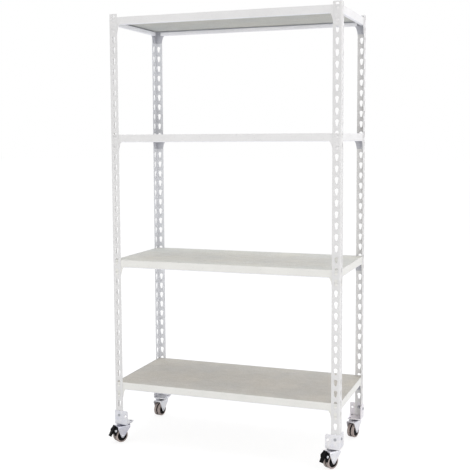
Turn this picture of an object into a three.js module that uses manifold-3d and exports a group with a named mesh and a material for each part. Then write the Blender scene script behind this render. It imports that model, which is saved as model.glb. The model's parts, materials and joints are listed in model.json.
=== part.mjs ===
// Mobile shelving unit: four slotted angle posts, four shelves of four beams and a board,
// and four swivel casters under corner brackets. The two front casters have a brake pedal.
// Units are millimetres. +Z is up, +X runs along the width, and -Y is the front.
// The origin is on the floor, under the middle of the whole unit.

import * as THREE from 'three';
import { mergeVertices } from 'three/addons/utils/BufferGeometryUtils.js';
import Module from 'manifold-3d';

const wasm = await Module();
wasm.setup();

// Clearances
const GAP = 0.3;
const RUNNING_GAP = 1.5;

// Overall sizes
const WIDTH = 850;
const DEPTH = 390;
const POST_LENGTH = 1500;

// Posts: equal angle with one row of keyholes in each flange
const POST_FLANGE = 30.5;
const POST_SHEET = 1.5;
const POST_BEND = 3;
const HOLE_PITCH = 38.1;
const FOOT_HOLE = 36.9;
const TOP_MARGIN = 12;
const KEYHOLE_HEIGHT = 23;
const KEYHOLE_WIDTH = 12.4;
const KEYHOLE_SHOULDER = 20;
const SLOT_WIDTH = 7;

// Shelves: the top one hangs in the top keyhole, the lowest one this many keyholes above the lowest keyhole
const SHELF_COUNT = 4;
const LOWEST_SHELF = 3;
const BEAM_HEIGHT = 27.5;
const BEAM_SHEET = 1.5;
const BEAM_FLANGE = 14;
const BEAM_LIP = 13.5;
const LEDGE_INSET = 6.5;
const GUSSET_HEIGHT = 57;
const GUSSET_REACH = 10;
const RIVET_RADIUS = 3.2;
const RIVET_DROP = 11.9;
const RIVET_PROUD = 1.2;
const BOARD_THICKNESS = 10;
const BOARD_DROP = 0.5;
const BOARD_GAP = 0.5;

// Corner brackets, bolted round the foot of each post
const BRACKET_REACH = 50;
const BRACKET_HEIGHT = 50;
const BRACKET_SHEET = 2.5;
const BRACKET_ROUND = 4;
const BRACKET_BOLT_HOLE = 3;
const SPARE_HOLE = 4;
const SPARE_HOLE_ACROSS = 41;
const SPARE_HOLE_UP = 31;
const BOLT_RADIUS = 2.5;
const BOLT_HEAD_RADIUS = 5;
const BOLT_HEAD = 3;
const BOLT_REACH = 7;
const BOLT_BELOW_HOLE = 6;

// Casters
const PLATE_SIZE = 48;
const PLATE_SHEET = 2.5;
const PLATE_ROUND = 5;
const CUP_RADIUS = 17;
const CUP_HEIGHT = 4.5;
const KINGPIN_RADIUS = 4.5;
const KINGPIN_HEAD_RADIUS = 7.5;
const KINGPIN_HEAD = 2;
const FORK_SHEET = 2.5;
const FORK_LEAD = 15;
const FORK_TRAIL = 38;
const FORK_SHOULDER = 9;
const FORK_BOSS = 7;
const BOSS_FROM = 205;
const BOSS_TO = 335;
const TRAIL = 18;
const CROWN_CLEARANCE = 10.2;
const WHEEL_RADIUS = 25;
const WHEEL_WIDTH = 27;
const TYRE_THICKNESS = 6;
const TYRE_SHOULDER = 2.5;
const HUB_RADIUS = 7;
const HUB_WIDTH = 28;
const CORE_DISH = 2;
const GROOVE_WIDTH = 6.5;
const GROOVE_DEPTH = 3;
const AXLE_RADIUS = 3;
const AXLE_HEAD_RADIUS = 5;
const AXLE_HEAD = 3;

// Brake: a housing fixed between the fork legs, and a rocking pedal in it
const PIVOT_CLEARANCE = 11.2;
const PIVOT_ANGLE = 40;
const PIVOT_RADIUS = 2;
const PIVOT_PROUD = 1.2;
const PEDAL_HUB = 5;
const NOSE_CLEARANCE = 0.4;
const NOSE_SPREAD = 10;
const NOSE_ROOT = 4;
const NOSE_ROOT_SPREAD = 60;
const PEDAL_TRAVEL = 25;
const PEDAL_SLOPE = 60;
const PEDAL_ABOVE = 17.5;
const PEDAL_BELOW = 25.5;
const PEDAL_SHEET = 5;
const PEDAL_WIDTH = 16;
const PEDAL_RIM_WIDTH = 2;
const PEDAL_RIM_HEIGHT = 1.5;
const HOUSING_EAR = 6.5;
const HOUSING_FROM = 70;
const HOUSING_TO = 10;
const HOUSING_WALL = 6;
const HOUSING_RIVET_IN = 9;
const HOUSING_RIVET_DROP = 5;

// How far each caster is turned in the photographed pose, from trailing straight to the front
const FRONT_TURN = -32;
const REAR_RIGHT_TURN = -16;
const REAR_LEFT_TURN = -10;

// Faces on round forms, and steps along a quarter bend or a rounded end
const WHEEL_SIDES = 16;
const CUP_SIDES = 12;
const HUB_SIDES = 10;
const HOLE_SIDES = 6;
const PIN_SIDES = 6;
const BEND_STEPS = 2;
const END_STEPS = 3;

const rad = THREE.MathUtils.degToRad;

// Materials
const whitePaint = { color: 0xe2e1e0, roughness: 0.45, metalness: 0.0 };
const boardFace = { color: 0xc4c2ba, roughness: 0.85, metalness: 0.0 };
const zinc = { color: 0xc9ccd2, roughness: 0.35, metalness: 0.9 };
const blackPlastic = { color: 0x17171a, roughness: 0.5, metalness: 0.0 };
const greyTread = { color: 0x9c918e, roughness: 0.7, metalness: 0.0 };

// Solid helpers

function toSolid(geometry) {
  const bare = geometry.clone();
  bare.deleteAttribute('normal');
  bare.deleteAttribute('uv');
  const welded = mergeVertices(bare, 1e-4);
  const index = welded.index.array;
  const triangles = [];
  for (let i = 0; i < index.length; i += 3) {
    const [a, b, c] = [index[i], index[i + 1], index[i + 2]];
    if (a !== b && b !== c && c !== a) triangles.push(a, b, c);
  }
  const vertProperties = new Float32Array(welded.attributes.position.array);
  const triVerts = new Uint32Array(triangles);
  return new wasm.Manifold(new wasm.Mesh({ numProp: 3, vertProperties, triVerts }));
}

function toGeometry(solid) {
  const mesh = solid.getMesh();
  const indexed = new THREE.BufferGeometry();
  indexed.setAttribute('position', new THREE.BufferAttribute(mesh.vertProperties, 3));
  indexed.setIndex(new THREE.BufferAttribute(mesh.triVerts, 1));
  const geometry = indexed.toNonIndexed();
  geometry.computeVertexNormals();
  return geometry;
}

function join(...geometries) {
  return toGeometry(geometries.map(toSolid).reduce((sum, next) => sum.add(next)));
}

function piece(name, geometry, look) {
  const mesh = new THREE.Mesh(geometry, new THREE.MeshStandardMaterial(look));
  mesh.name = name;
  return mesh;
}

function extrude(points, depth, holes = []) {
  const shape = new THREE.Shape(points);
  shape.holes = holes.map((hole) => new THREE.Path(hole));
  return new THREE.ExtrudeGeometry(shape, { depth, bevelEnabled: false });
}

// An outline drawn as (across, up) stands in the XZ plane, with its sheet from y = 0 to y = depth
function standFront(points, depth, holes) {
  return extrude(points, depth, holes).rotateX(Math.PI / 2).translate(0, depth, 0);
}

// An outline drawn as (inward, up) runs along X from x = 0 to x = length, with inward along +Y
function runAlongX(points, length) {
  const axes = new THREE.Matrix4().makeBasis(
    new THREE.Vector3(0, 1, 0),
    new THREE.Vector3(0, 0, 1),
    new THREE.Vector3(1, 0, 0),
  );
  return extrude(points, length).applyMatrix4(axes);
}

// An outline drawn as (trailing, up) stands in the YZ plane, trailing along -Y, centred on x = 0
function standSide(points, depth, holes) {
  const axes = new THREE.Matrix4().makeBasis(
    new THREE.Vector3(0, -1, 0),
    new THREE.Vector3(0, 0, 1),
    new THREE.Vector3(-1, 0, 0),
  );
  return extrude(points, depth, holes).applyMatrix4(axes).translate(depth / 2, 0, 0);
}

function arc(cx, cy, radius, from, to, steps) {
  const points = [];
  for (let i = 0; i <= steps; i += 1) {
    const angle = rad(from + ((to - from) * i) / steps);
    points.push(new THREE.Vector2(cx + radius * Math.cos(angle), cy + radius * Math.sin(angle)));
  }
  return points;
}

function circle(cx, cy, radius, sides) {
  return arc(cx, cy, radius, 0, 360, sides).slice(0, sides);
}

const at = (x, y) => new THREE.Vector2(x, y);

// A revolved profile given as (radius, height), turned about Z
function turned(profile, sides) {
  return new THREE.LatheGeometry(profile.map(([r, h]) => at(r, h)), sides).rotateX(Math.PI / 2);
}

// A revolved profile given as (radius, offset), turned about X
function turnedAboutX(profile, sides) {
  return turned(profile, sides).rotateY(Math.PI / 2);
}

// Posts

// The keyholes are counted from the top, and the lowest one is at a fixed height for the bracket bolts
const holeCount = Math.floor((POST_LENGTH - FOOT_HOLE - TOP_MARGIN) / HOLE_PITCH) + 1;
const holeHeight = (index) => FOOT_HOLE + (holeCount - 1 - index) * HOLE_PITCH;
const shelfHole = (number) => Math.floor((number * (holeCount - 1 - LOWEST_SHELF)) / (SHELF_COUNT - 1));

function keyholeOutline() {
  const radius = KEYHOLE_WIDTH / 2;
  const shoulder = KEYHOLE_HEIGHT / 2 - radius;
  return [
    at(-SLOT_WIDTH / 2, -KEYHOLE_HEIGHT / 2),
    at(SLOT_WIDTH / 2, -KEYHOLE_HEIGHT / 2),
    ...arc(0, shoulder, radius, KEYHOLE_SHOULDER, 180 - KEYHOLE_SHOULDER, BEND_STEPS),
  ];
}

// The corner is outward at (0, 0) and the flanges run along +X and +Y from z = 0 up
function postGeometry() {
  const inner = POST_BEND - POST_SHEET;
  const angle = extrude([
    ...arc(POST_BEND, POST_BEND, POST_BEND, 180, 270, END_STEPS),
    at(POST_FLANGE, 0),
    at(POST_FLANGE, POST_SHEET),
    ...arc(POST_BEND, POST_BEND, inner, 270, 180, BEND_STEPS),
    at(POST_SHEET, POST_FLANGE),
    at(0, POST_FLANGE),
  ], POST_LENGTH);
  let post = toSolid(angle);
  const front = standFront(keyholeOutline(), 3 * POST_SHEET).translate(POST_FLANGE / 2, -POST_SHEET, 0);
  const side = front.clone().rotateZ(Math.PI / 2).translate(POST_SHEET, 0, 0);
  const cutter = toSolid(front).add(toSolid(side));
  for (let i = 0; i < holeCount; i += 1) {
    post = post.subtract(cutter.translate([0, 0, holeHeight(i)]));
  }
  return toGeometry(post);
}

// Beams

const rivetPlaces = [RIVET_DROP, RIVET_DROP + HOLE_PITCH];
const beamSetback = POST_SHEET + GAP;
const ledgeHeight = BEAM_HEIGHT - BOARD_DROP - BOARD_THICKNESS - GAP;

function rivet() {
  const reach = GAP + POST_SHEET + RIVET_PROUD;
  const profile = [
    [0, -BEAM_SHEET / 2],
    [RIVET_RADIUS, -BEAM_SHEET / 2],
    [RIVET_RADIUS, reach],
    [0, reach],
  ];
  return turned(profile, PIN_SIDES).rotateX(Math.PI / 2);
}

// The top edge is at z = 0, the outer face at y = 0, and the post corners at x = -span / 2 and span / 2
function beamGeometry(span) {
  const end = span / 2 - beamSetback - BEAM_SHEET - 2 * GAP;
  const edge = span / 2 - POST_FLANGE;
  const filletTop = -BEAM_HEIGHT;
  const filletDrop = GUSSET_HEIGHT - BEAM_HEIGHT;
  const fillet = new THREE.QuadraticBezierCurve(
    at(edge - GUSSET_REACH, filletTop),
    at(edge - GUSSET_REACH / 4, filletTop - filletDrop / 4),
    at(edge, filletTop - filletDrop),
  ).getPoints(END_STEPS);
  const right = [...fillet, at(end, -GUSSET_HEIGHT), at(end, 0)];
  const left = right.map((p) => at(-p.x, p.y)).reverse();
  const web = standFront([...left, ...right], BEAM_SHEET);
  const channel = runAlongX([
    at(0, 0),
    at(BEAM_FLANGE, 0),
    at(BEAM_FLANGE, BEAM_LIP),
    at(LEDGE_INSET + BEAM_SHEET, BEAM_LIP),
    at(LEDGE_INSET + BEAM_SHEET, ledgeHeight),
    at(LEDGE_INSET, ledgeHeight),
    at(LEDGE_INSET, BEAM_LIP - BEAM_SHEET),
    at(BEAM_FLANGE - BEAM_SHEET, BEAM_LIP - BEAM_SHEET),
    at(BEAM_FLANGE - BEAM_SHEET, BEAM_SHEET),
    at(0, BEAM_SHEET),
  ], 2 * edge).translate(-edge, 0, -BEAM_HEIGHT);
  const rivets = [-1, 1].flatMap((side) => rivetPlaces.map((drop) => (
    rivet().translate(side * (span / 2 - POST_FLANGE / 2), 0, -drop)
  )));
  return join(web, channel, ...rivets);
}

// Shelves

function boardGeometry() {
  const inset = beamSetback + BEAM_SHEET + BOARD_GAP;
  const board = new THREE.BoxGeometry(WIDTH - 2 * inset, DEPTH - 2 * inset, BOARD_THICKNESS);
  return board.translate(0, 0, -BOARD_DROP - BOARD_THICKNESS / 2);
}

function shelf(number, longBeam, shortBeam, board) {
  const group = new THREE.Group();
  const sides = [
    ['front', longBeam, 0, DEPTH],
    ['right', shortBeam, 90, WIDTH],
    ['back', longBeam, 180, DEPTH],
    ['left', shortBeam, 270, WIDTH],
  ];
  for (const [side, geometry, turn, across] of sides) {
    const holder = new THREE.Group();
    const beam = piece(`shelf_${number}_beam_${side}`, geometry, whitePaint);
    beam.position.y = beamSetback - across / 2;
    holder.rotation.z = rad(turn);
    holder.add(beam);
    group.add(holder);
  }
  group.add(piece(`shelf_${number}_board`, board, boardFace));
  return group;
}

// Corner brackets and their bolts

const bracketOut = GAP + BRACKET_SHEET;
const bracketCentre = (BRACKET_REACH - bracketOut) / 2;
const postFoot = BRACKET_SHEET + GAP;
const boltHeight = postFoot + FOOT_HOLE - BOLT_BELOW_HOLE;

// The post corner is at (0, 0), and z = 0 is the underside of the base
function bracketGeometry() {
  const length = BRACKET_REACH + bracketOut;
  const outline = [
    at(0, 0),
    at(length, 0),
    ...arc(length - BRACKET_ROUND, BRACKET_HEIGHT - BRACKET_ROUND, BRACKET_ROUND, 0, 90, BEND_STEPS),
    at(0, BRACKET_HEIGHT),
  ];
  const holes = [
    circle(bracketOut + POST_FLANGE / 2, boltHeight, BRACKET_BOLT_HOLE, HOLE_SIDES),
    circle(bracketOut + SPARE_HOLE_ACROSS, SPARE_HOLE_UP, SPARE_HOLE, HOLE_SIDES + 2),
  ];
  const front = standFront(outline, BRACKET_SHEET, holes).translate(-bracketOut, -bracketOut, 0);
  const side = front.clone().rotateZ(Math.PI / 2).translate(-GAP - bracketOut, 0, 0);
  const inner = BRACKET_REACH - BRACKET_ROUND;
  const base = extrude([
    at(-bracketOut, -bracketOut),
    at(BRACKET_REACH, -bracketOut),
    ...arc(inner, inner, BRACKET_ROUND, 0, 90, BEND_STEPS),
    at(-bracketOut, BRACKET_REACH),
  ], BRACKET_SHEET);
  return join(base, front, side);
}

// Head outside the bracket, shank through bracket and keyhole to just inside the post, along +Y
function bracketBoltGeometry() {
  const headFace = -bracketOut - GAP;
  return turned([
    [0, headFace - BOLT_HEAD],
    [BOLT_HEAD_RADIUS, headFace - BOLT_HEAD],
    [BOLT_HEAD_RADIUS, headFace],
    [BOLT_RADIUS, headFace],
    [BOLT_RADIUS, BOLT_REACH],
    [0, BOLT_REACH],
  ], PIN_SIDES).rotateX(-Math.PI / 2);
}

// Casters: z = 0 is the top of the caster's plate, the swivel axis is x = y = 0, the wheel trails along -Y

const crownTop = -PLATE_SHEET - CUP_HEIGHT - GAP;
const crownUnder = crownTop - FORK_SHEET;
const wheelCentre = crownUnder - CROWN_CLEARANCE - WHEEL_RADIUS;
const casterHeight = WHEEL_RADIUS - wheelCentre;
const legInside = HUB_WIDTH / 2 + RUNNING_GAP;
const legOutside = legInside + FORK_SHEET;
const pivotOut = TRAIL + (WHEEL_RADIUS + PIVOT_CLEARANCE) * Math.cos(rad(PIVOT_ANGLE));
const pivotHeight = wheelCentre + (WHEEL_RADIUS + PIVOT_CLEARANCE) * Math.sin(rad(PIVOT_ANGLE));
const rivetOut = FORK_TRAIL - HOUSING_RIVET_IN;
const rivetHeight = crownUnder - HOUSING_RIVET_DROP;
const pinHole = PIVOT_RADIUS + 2 * GAP;
const coreRadius = WHEEL_RADIUS - TYRE_THICKNESS;

// Top plate with its pressed ball cup, and the kingpin that holds the fork
function topPlateGeometry() {
  const half = PLATE_SIZE / 2;
  const inner = half - PLATE_ROUND;
  const corners = [[1, 1, 0], [-1, 1, 90], [-1, -1, 180], [1, -1, 270]];
  const outline = corners.flatMap(([sx, sy, from]) => (
    arc(sx * inner, sy * inner, PLATE_ROUND, from, from + 90, BEND_STEPS)
  ));
  const plate = extrude(outline, PLATE_SHEET).translate(0, 0, -PLATE_SHEET);
  const cupBottom = -PLATE_SHEET - CUP_HEIGHT;
  const headTop = crownUnder - GAP;
  const swivel = turned([
    [0, headTop - KINGPIN_HEAD],
    [KINGPIN_HEAD_RADIUS, headTop - KINGPIN_HEAD],
    [KINGPIN_HEAD_RADIUS, headTop],
    [KINGPIN_RADIUS, headTop],
    [KINGPIN_RADIUS, cupBottom],
    [CUP_RADIUS, cupBottom],
    [CUP_RADIUS, -PLATE_SHEET / 2],
    [0, -PLATE_SHEET / 2],
  ], CUP_SIDES);
  return join(plate, swivel);
}

// Bent sheet fork: a crown with the kingpin hole, and two tapered legs down to the axle
function forkGeometry(braked) {
  const leg = [
    at(FORK_TRAIL, crownTop),
    at(-FORK_LEAD, crownTop),
    at(-FORK_LEAD, crownTop - FORK_SHOULDER),
    ...arc(TRAIL, wheelCentre, FORK_BOSS, BOSS_FROM, BOSS_TO, 2 * BEND_STEPS),
    at(FORK_TRAIL, crownTop - FORK_SHOULDER),
  ];
  const holes = [circle(TRAIL, wheelCentre, AXLE_RADIUS + 2 * GAP, HOLE_SIDES)];
  if (braked) holes.push(circle(rivetOut, rivetHeight, pinHole, HOLE_SIDES));
  const plate = standSide(leg, FORK_SHEET, holes);
  const offset = legInside + FORK_SHEET / 2;
  const front = THREE.MathUtils.radToDeg(Math.atan2(FORK_LEAD, legOutside));
  const crown = extrude([
    at(-legOutside, -FORK_TRAIL),
    at(legOutside, -FORK_TRAIL),
    ...arc(0, 0, Math.hypot(legOutside, FORK_LEAD), front, 180 - front, 2 * END_STEPS),
  ], FORK_SHEET, [circle(0, 0, KINGPIN_RADIUS + GAP, CUP_SIDES)]).translate(0, 0, crownUnder);
  return join(crown, plate.clone().translate(-offset, 0, 0), plate.clone().translate(offset, 0, 0));
}

// A round pin along X at (out, up), proud of both faces that lie at -reach and reach
function crossPin(out, up, reach) {
  return turnedAboutX([
    [0, -reach - PIVOT_PROUD],
    [PIVOT_RADIUS, -reach - PIVOT_PROUD],
    [PIVOT_RADIUS, reach + PIVOT_PROUD],
    [0, reach + PIVOT_PROUD],
  ], PIN_SIDES).translate(0, -out, up);
}

// Two cheeks that follow the tyre and hold the pedal's pin, a bridge under the crown, and its rivet
function housingGeometry() {
  const half = legInside - GAP;
  const slot = PEDAL_WIDTH / 2 + GAP;
  const shroud = arc(TRAIL, wheelCentre, WHEEL_RADIUS + RUNNING_GAP, HOUSING_FROM, HOUSING_TO, 2 * END_STEPS);
  const [innerTop, outerFoot] = [shroud[0], shroud[shroud.length - 1]];
  const under = crownUnder - GAP;
  const cheek = [
    at(FORK_TRAIL, under),
    at(innerTop.x, under),
    ...shroud,
    at(outerFoot.x + HOUSING_WALL, outerFoot.y),
    ...arc(pivotOut, pivotHeight, HOUSING_EAR, 0, 60, BEND_STEPS),
  ];
  const cheeks = [-1, 1].map((side) => (
    standSide(cheek, half - slot, [circle(pivotOut, pivotHeight, pinHole, HOLE_SIDES)])
      .translate((side * (half + slot)) / 2, 0, 0)
  ));
  const bridge = standSide([
    at(FORK_TRAIL, under),
    at(innerTop.x, under),
    innerTop,
    at(FORK_TRAIL, innerTop.y),
  ], 2 * half - RUNNING_GAP);
  return join(...cheeks, bridge, crossPin(rivetOut, rivetHeight, legOutside));
}

// Wheel parts are centred on the axle, which lies along X

function coreGeometry() {
  const hub = HUB_WIDTH / 2;
  const rim = WHEEL_WIDTH / 2;
  const bore = AXLE_RADIUS + GAP;
  return turnedAboutX([
    [bore, -hub],
    [HUB_RADIUS, -hub],
    [HUB_RADIUS, CORE_DISH - rim],
    [coreRadius, -rim],
    [coreRadius, rim],
    [HUB_RADIUS, rim - CORE_DISH],
    [HUB_RADIUS, hub],
    [bore, hub],
    [bore, -hub],
  ], WHEEL_SIDES);
}

function tyreGeometry() {
  const half = WHEEL_WIDTH / 2;
  const inside = coreRadius + GAP;
  return turnedAboutX([
    [inside, -half],
    [WHEEL_RADIUS - TYRE_SHOULDER, -half],
    [WHEEL_RADIUS, TYRE_SHOULDER - half],
    [WHEEL_RADIUS, -GROOVE_WIDTH / 2],
    [WHEEL_RADIUS - GROOVE_DEPTH, -GROOVE_WIDTH / 2],
    [WHEEL_RADIUS - GROOVE_DEPTH, GROOVE_WIDTH / 2],
    [WHEEL_RADIUS, GROOVE_WIDTH / 2],
    [WHEEL_RADIUS, half - TYRE_SHOULDER],
    [WHEEL_RADIUS - TYRE_SHOULDER, half],
    [inside, half],
    [inside, -half],
  ], WHEEL_SIDES);
}

function axleGeometry() {
  const face = legOutside + GAP;
  return turnedAboutX([
    [0, -face - AXLE_HEAD],
    [AXLE_HEAD_RADIUS, -face - AXLE_HEAD],
    [AXLE_HEAD_RADIUS, -face],
    [AXLE_RADIUS, -face],
    [AXLE_RADIUS, face],
    [AXLE_HEAD_RADIUS, face],
    [AXLE_HEAD_RADIUS, face + AXLE_HEAD],
    [0, face + AXLE_HEAD],
  ], PIN_SIDES);
}

// A channel section drawn as (across, outward), run down the pedal's slope from above its pivot to below it
function pedalTread() {
  const [cos, sin] = [Math.cos(rad(PEDAL_SLOPE)), Math.sin(rad(PEDAL_SLOPE))];
  const axes = new THREE.Matrix4().makeBasis(
    new THREE.Vector3(1, 0, 0),
    new THREE.Vector3(0, -sin, cos),
    new THREE.Vector3(0, -cos, -sin),
  );
  const side = PEDAL_WIDTH / 2;
  const under = PEDAL_HUB - PEDAL_SHEET / 3;
  const over = under + PEDAL_SHEET;
  const section = [
    at(-side, under),
    at(side, under),
    at(side, over),
    at(side - PEDAL_RIM_WIDTH, over),
    at(side - PEDAL_RIM_WIDTH, over - PEDAL_RIM_HEIGHT),
    at(PEDAL_RIM_WIDTH - side, over - PEDAL_RIM_HEIGHT),
    at(PEDAL_RIM_WIDTH - side, over),
    at(-side, over),
  ];
  return extrude(section, PEDAL_ABOVE + PEDAL_BELOW).translate(0, 0, -PEDAL_ABOVE).applyMatrix4(axes);
}

// Pedal about its pivot at (0, 0): a hub with a cam nose, a sloped tread with raised rims, and the pin
function pedalGeometry() {
  const hub = standSide(circle(0, 0, PEDAL_HUB, HUB_SIDES), PEDAL_WIDTH);
  const reach = PIVOT_CLEARANCE - NOSE_CLEARANCE;
  const rest = 180 + PIVOT_ANGLE + PEDAL_TRAVEL;
  const nose = standSide([
    ...arc(0, 0, reach, rest - NOSE_SPREAD, rest + NOSE_SPREAD, BEND_STEPS),
    ...arc(0, 0, NOSE_ROOT, rest + NOSE_ROOT_SPREAD, rest - NOSE_ROOT_SPREAD, 1),
  ], PEDAL_WIDTH);
  return join(pedalTread(), hub, nose, crossPin(0, 0, legInside - GAP));
}

function caster(corner, shapes, braked) {
  const group = new THREE.Group();
  const wheel = new THREE.Group();
  wheel.position.set(0, -TRAIL, wheelCentre);
  wheel.add(piece(`caster_${corner}_wheel_core`, shapes.core, blackPlastic));
  wheel.add(piece(`caster_${corner}_tyre`, shapes.tyre, greyTread));
  const fork = piece(`caster_${corner}_fork`, braked ? shapes.brakedFork : shapes.plainFork, zinc);
  const axle = piece(`caster_${corner}_axle`, shapes.axle, zinc);
  axle.position.copy(wheel.position);
  group.add(fork, axle, wheel);
  if (braked) {
    const pedal = piece(`caster_${corner}_brake_pedal`, shapes.pedal, blackPlastic);
    pedal.position.set(0, -pivotOut, pivotHeight);
    group.add(piece(`caster_${corner}_brake_housing`, shapes.housing, blackPlastic), pedal);
  }
  return group;
}

// One corner of the unit: post, bracket with two bolts, caster plate and caster.
// The corner's own frame has the post corner at (0, 0) and the inside of the unit along +X and +Y.
function corner(name, quarter, turn, braked, shapes) {
  const group = new THREE.Group();
  const base = casterHeight + GAP;
  group.rotation.z = rad(90 * quarter);
  const post = piece(`post_${name}`, shapes.post, whitePaint);
  post.position.z = base + postFoot;
  const bracket = piece(`bracket_${name}`, shapes.bracket, zinc);
  bracket.position.z = base;
  const frontBolt = piece(`bracket_${name}_bolt_a`, shapes.bolt, zinc);
  frontBolt.position.set(POST_FLANGE / 2, 0, base + boltHeight);
  const sideBolt = piece(`bracket_${name}_bolt_b`, shapes.bolt, zinc);
  sideBolt.position.set(0, POST_FLANGE / 2, base + boltHeight);
  sideBolt.rotation.z = rad(-90);
  const plate = piece(`caster_${name}_top_plate`, shapes.plate, zinc);
  plate.position.set(bracketCentre, bracketCentre, casterHeight);
  const swivel = caster(name, shapes, braked);
  swivel.position.copy(plate.position);
  swivel.rotation.z = rad(turn - 90 * quarter);
  group.add(post, bracket, frontBolt, sideBolt, plate, swivel);
  return group;
}

function shelvingUnit() {
  const unit = new THREE.Group();
  const shapes = {
    post: postGeometry(),
    bracket: bracketGeometry(),
    bolt: bracketBoltGeometry(),
    plate: topPlateGeometry(),
    plainFork: forkGeometry(false),
    brakedFork: forkGeometry(true),
    core: coreGeometry(),
    tyre: tyreGeometry(),
    axle: axleGeometry(),
    housing: housingGeometry(),
    pedal: pedalGeometry(),
  };
  const corners = [
    ['front_left', -1, -1, FRONT_TURN, true],
    ['front_right', 1, -1, FRONT_TURN, true],
    ['rear_right', 1, 1, REAR_RIGHT_TURN, false],
    ['rear_left', -1, 1, REAR_LEFT_TURN, false],
  ];
  corners.forEach(([name, sx, sy, turn, braked], quarter) => {
    const group = corner(name, quarter, turn, braked, shapes);
    group.position.set((sx * WIDTH) / 2, (sy * DEPTH) / 2, 0);
    unit.add(group);
  });
  const longBeam = beamGeometry(WIDTH);
  const shortBeam = beamGeometry(DEPTH);
  const board = boardGeometry();
  const postBottom = casterHeight + GAP + postFoot;
  const seat = RIVET_DROP + RIVET_RADIUS + GAP - KEYHOLE_HEIGHT / 2;
  for (let i = 0; i < SHELF_COUNT; i += 1) {
    const group = shelf(i + 1, longBeam, shortBeam, board);
    group.position.z = postBottom + holeHeight(shelfHole(i)) + seat;
    unit.add(group);
  }
  return unit;
}

// The unit is moved so that the origin lies under the middle of its outer box
const unit = shelvingUnit();
const box = new THREE.Box3().setFromObject(unit, true);
const middle = box.getCenter(new THREE.Vector3());
unit.position.set(-middle.x, -middle.y, 0);

const shelving = new THREE.Group();
shelving.add(unit);

export default shelving;
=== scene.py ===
"""Looks for the mobile shelving unit: sheet-metal pieces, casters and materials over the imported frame."""

import json
import math

import bmesh
import bpy
from mathutils import Matrix, Vector
from mathutils.geometry import delaunay_2d_cdt


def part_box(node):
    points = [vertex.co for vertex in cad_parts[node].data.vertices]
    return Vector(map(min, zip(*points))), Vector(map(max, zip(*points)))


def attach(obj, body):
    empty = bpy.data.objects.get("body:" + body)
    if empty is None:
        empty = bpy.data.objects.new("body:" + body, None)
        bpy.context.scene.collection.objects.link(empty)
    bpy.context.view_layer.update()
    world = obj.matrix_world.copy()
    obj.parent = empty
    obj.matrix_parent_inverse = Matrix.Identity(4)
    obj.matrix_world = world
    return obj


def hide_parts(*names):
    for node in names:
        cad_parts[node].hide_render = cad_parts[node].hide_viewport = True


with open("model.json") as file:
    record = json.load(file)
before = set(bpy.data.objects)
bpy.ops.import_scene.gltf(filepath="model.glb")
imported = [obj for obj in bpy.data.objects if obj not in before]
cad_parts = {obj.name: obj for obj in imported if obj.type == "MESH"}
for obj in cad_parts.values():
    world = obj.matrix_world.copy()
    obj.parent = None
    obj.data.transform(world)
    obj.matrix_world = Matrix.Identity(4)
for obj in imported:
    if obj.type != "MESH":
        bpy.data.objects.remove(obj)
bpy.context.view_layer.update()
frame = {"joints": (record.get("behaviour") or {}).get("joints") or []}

MM = 0.001
CORNERS = ("front_left", "front_right", "rear_right", "rear_left")
BRAKED = ("front_left", "front_right")
X_AXIS = Vector((1, 0, 0))
Y_AXIS = Vector((0, 1, 0))
Z_AXIS = Vector((0, 0, 1))

# Sizes in millimetres, as in the CAD
WIDTH = 850
DEPTH = 390
SHELF_COUNT = 4
GAP = 0.3
POST_FLANGE = 30.5
POST_SHEET = 1.5
POST_BEND = 3
HOLE_PITCH = 38.1
FOOT_HOLE = 36.9
HOLE_COUNT = 39
KEYHOLE_HEIGHT = 23
KEYHOLE_WIDTH = 12.4
SLOT_WIDTH = 7

BEAM_HEIGHT = 27.5
BEAM_SHEET = 1.5
BEAM_FLANGE = 14
BEAM_LIP = 13.5
BEAM_BEND = 1.4
LEDGE_INSET = 6.5
LEDGE_TOP = 16.7
GUSSET_HEIGHT = 57
GUSSET_REACH = 10
BEAM_END_INSET = 3.9
RIVET_DROP = 11.9
RIVET_RADIUS = 3.2
RIVET_HEAD = 5
RIVET_DOME = 1.6

BRACKET_REACH = 50
BRACKET_HEIGHT = 50
BRACKET_SHEET = 2.5
BRACKET_BEND = 3.2
BRACKET_ROUND = 4
BOLT_HOLE = 3
SPARE_HOLE = 4
SPARE_HOLE_ACROSS = 41
SPARE_HOLE_UP = 31
BOLT_HEIGHT = 33.7
BOLT_RADIUS = 2.5

PLATE_SIZE = 48
PLATE_SHEET = 2.5
PLATE_ROUND = 5
PLATE_BOLT_INSET = 6.5
CUP_RADIUS = 17
CUP_HEIGHT = 4.5
KINGPIN_RADIUS = 4.5
KINGPIN_HEAD = 7.5
FORK_SHEET = 2.5
FORK_LEAD = 15
FORK_TRAIL = 38
FORK_SHOULDER = 9
FORK_BOSS = 7
FORK_BEND = 3.5
TRAIL = 18
CROWN_CLEARANCE = 10.2
WHEEL_RADIUS = 25
WHEEL_WIDTH = 27
TYRE_THICKNESS = 6
GROOVE_WIDTH = 6.5
GROOVE_DEPTH = 3
HUB_RADIUS = 7
HUB_WIDTH = 28
AXLE_RADIUS = 3
AXLE_HEAD = 5
LEG_INSIDE = 15.5

PIVOT_CLEARANCE = 11.2
PIVOT_ANGLE = 40
PEDAL_TRAVEL = 25
PEDAL_HUB = 5
PEDAL_SLOPE = 60
PEDAL_ABOVE = 17.5
PEDAL_BELOW = 25.5
PEDAL_SHEET = 5
PEDAL_WIDTH = 16
HOUSING_EAR = 6.5
HOUSING_FROM = 70
HOUSING_TO = 10
HOUSING_WALL = 6
HOUSING_RIVET_IN = 9
HOUSING_RIVET_DOWN = 5
RUNNING_GAP = 1.5

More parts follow.
